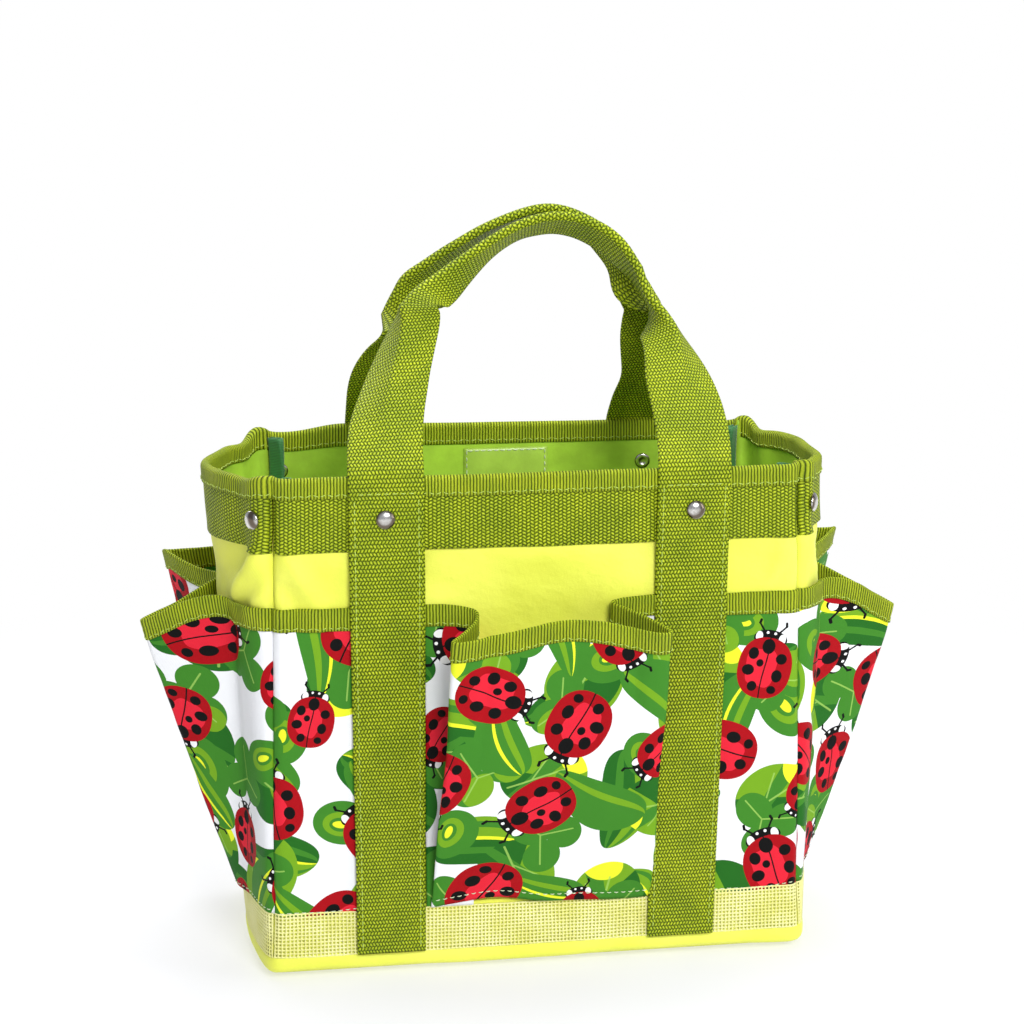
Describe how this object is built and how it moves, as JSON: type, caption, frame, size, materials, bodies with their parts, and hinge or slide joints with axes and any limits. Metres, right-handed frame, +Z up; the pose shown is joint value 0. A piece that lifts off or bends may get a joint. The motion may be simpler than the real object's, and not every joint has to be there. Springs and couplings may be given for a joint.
{
  "type": "garden tool bag",
  "caption": "Open-top fabric tote for garden hand tools, with webbing carry handles, outside pockets with bound mouths, a stiff base and a mesh foot strip.",
  "frame": {"origin": "centre of the base, on the ground", "axes": "+Z up, the front with the label side inside the opposite wall faces -Y, +X along the long side to the viewer's right"},
  "size_m": [0.3974, 0.1972, 0.3951],
  "materials": {
    "body_fabric": "bright lime woven polyester with a fine even weave and a slight sheen",
    "coated_lining": "light green coated polyester, smooth with a soft sheen",
    "label_fabric": "blank light green woven label with a stitched edge",
    "seam_binding": "dark green folded seam tape",
    "open_mesh": "pale yellow open square mesh, coated",
    "webbing": "olive lime ribbed webbing with a coarse basket weave",
    "grosgrain_tape": "olive lime ribbed grosgrain tape, folded and stitched",
    "nickel_rivet": "bright nickel-plated domed caps",
    "stiffening_board": "plain stiff board",
    "printed_fabric": "white woven polyester printed with a scattered ladybird and leaf pattern"
  },
  "bodies": {
    "bag": {"base_panel": "body_fabric", "base_board": "stiffening_board", "base_roll": "body_fabric", "lining_base": "coated_lining", "body_panel_front": "body_fabric", "body_panel_back": "body_fabric", "body_panel_left": "body_fabric", "body_panel_right": "body_fabric", "lining_front": "coated_lining", "lining_back": "coated_lining", "lining_left": "coated_lining", "lining_right": "coated_lining", "label_patch": "label_fabric", "corner_seam_bindings": "seam_binding", "mesh_strip_front": "open_mesh", "mesh_strip_back": "open_mesh", "mesh_strip_left": "open_mesh", "mesh_strip_right": "open_mesh", "band_front": "webbing", "band_back": "webbing", "band_left": "webbing", "band_right": "webbing", "rim_binding": "grosgrain_tape", "strap_front_left": "webbing", "strap_front_right": "webbing", "strap_back_left": "webbing", "strap_back_right": "webbing", "rivet_caps": "nickel_rivet", "rivet_backs": "nickel_rivet", "pocket_panel_front": "printed_fabric", "pocket_panel_back": "printed_fabric", "pocket_bindings_front": "grosgrain_tape", "pocket_bindings_back": "grosgrain_tape", "pocket_panel_left": "printed_fabric", "pocket_panel_right": "printed_fabric", "bellows_front_pleats": "printed_fabric", "bellows_back_pleats": "printed_fabric", "side_pleats_left_front": "printed_fabric", "side_binding_left_front": "grosgrain_tape", "side_pleats_left_rear": "printed_fabric", "side_binding_left_rear": "grosgrain_tape", "side_pleats_right_front": "printed_fabric", "side_binding_right_front": "grosgrain_tape", "side_pleats_right_rear": "printed_fabric", "side_binding_right_rear": "grosgrain_tape"},
    "front_handle": {"front_handle": "webbing"},
    "back_handle": {"back_handle": "webbing"},
    "bellows_front": {"bellows_front": "printed_fabric", "bellows_front_binding": "grosgrain_tape"},
    "bellows_back": {"bellows_back": "printed_fabric", "bellows_back_binding": "grosgrain_tape"},
    "side_pocket_left_front": {"side_pocket_left_front": "printed_fabric"},
    "side_pocket_left_rear": {"side_pocket_left_rear": "printed_fabric"},
    "side_pocket_right_front": {"side_pocket_right_front": "printed_fabric"},
    "side_pocket_right_rear": {"side_pocket_right_rear": "printed_fabric"}
  },
  "joints": [
    {"name": "front_handle_swing", "type": "hinge", "parent": "bag", "child": "front_handle", "pos_m": [0, -0.0685, 0.2682], "axis": [1, 0, 0], "range_deg": [0, 160], "stiffness_Nm_per_rad": 0.1},
    {"name": "back_handle_swing", "type": "hinge", "parent": "bag", "child": "back_handle", "pos_m": [0, 0.0685, 0.2682], "axis": [-1, 0, 0], "range_deg": [0, 160], "stiffness_Nm_per_rad": 0.1},
    {"name": "bellows_front_open", "type": "hinge", "parent": "bag", "child": "bellows_front", "pos_m": [0, -0.0666, 0.0367], "axis": [1, 0, 0], "range_deg": [-8, 6], "stiffness_Nm_per_rad": 0.4, "deforming": ["bellows_front_pleats"]},
    {"name": "bellows_back_open", "type": "hinge", "parent": "bag", "child": "bellows_back", "pos_m": [0, 0.0666, 0.0367], "axis": [-1, 0, 0], "range_deg": [-8, 6], "stiffness_Nm_per_rad": 0.4, "deforming": ["bellows_back_pleats"]},
    {"name": "side_pocket_left_front_open", "type": "hinge", "parent": "bag", "child": "side_pocket_left_front", "pos_m": [-0.1527, -0.022, 0.0367], "axis": [0, -1, 0], "range_deg": [-6, 6], "stiffness_Nm_per_rad": 0.4, "deforming": ["side_pleats_left_front", "side_binding_left_front"]},
    {"name": "side_pocket_left_rear_open", "type": "hinge", "parent": "bag", "child": "side_pocket_left_rear", "pos_m": [-0.1499, 0.048, 0.0367], "axis": [0, -1, 0], "range_deg": [-6, 6], "stiffness_Nm_per_rad": 0.4, "deforming": ["side_pleats_left_rear", "side_binding_left_rear"]},
    {"name": "side_pocket_right_front_open", "type": "hinge", "parent": "bag", "child": "side_pocket_right_front", "pos_m": [0.1527, -0.022, 0.0367], "axis": [0, 1, 0], "range_deg": [-6, 6], "stiffness_Nm_per_rad": 0.4, "deforming": ["side_pleats_right_front", "side_binding_right_front"]},
    {"name": "side_pocket_right_rear_open", "type": "hinge", "parent": "bag", "child": "side_pocket_right_rear", "pos_m": [0.1499, 0.048, 0.0367], "axis": [0, 1, 0], "range_deg": [-6, 6], "stiffness_Nm_per_rad": 0.4, "deforming": ["side_pleats_right_rear", "side_binding_right_rear"]}
  ]
}
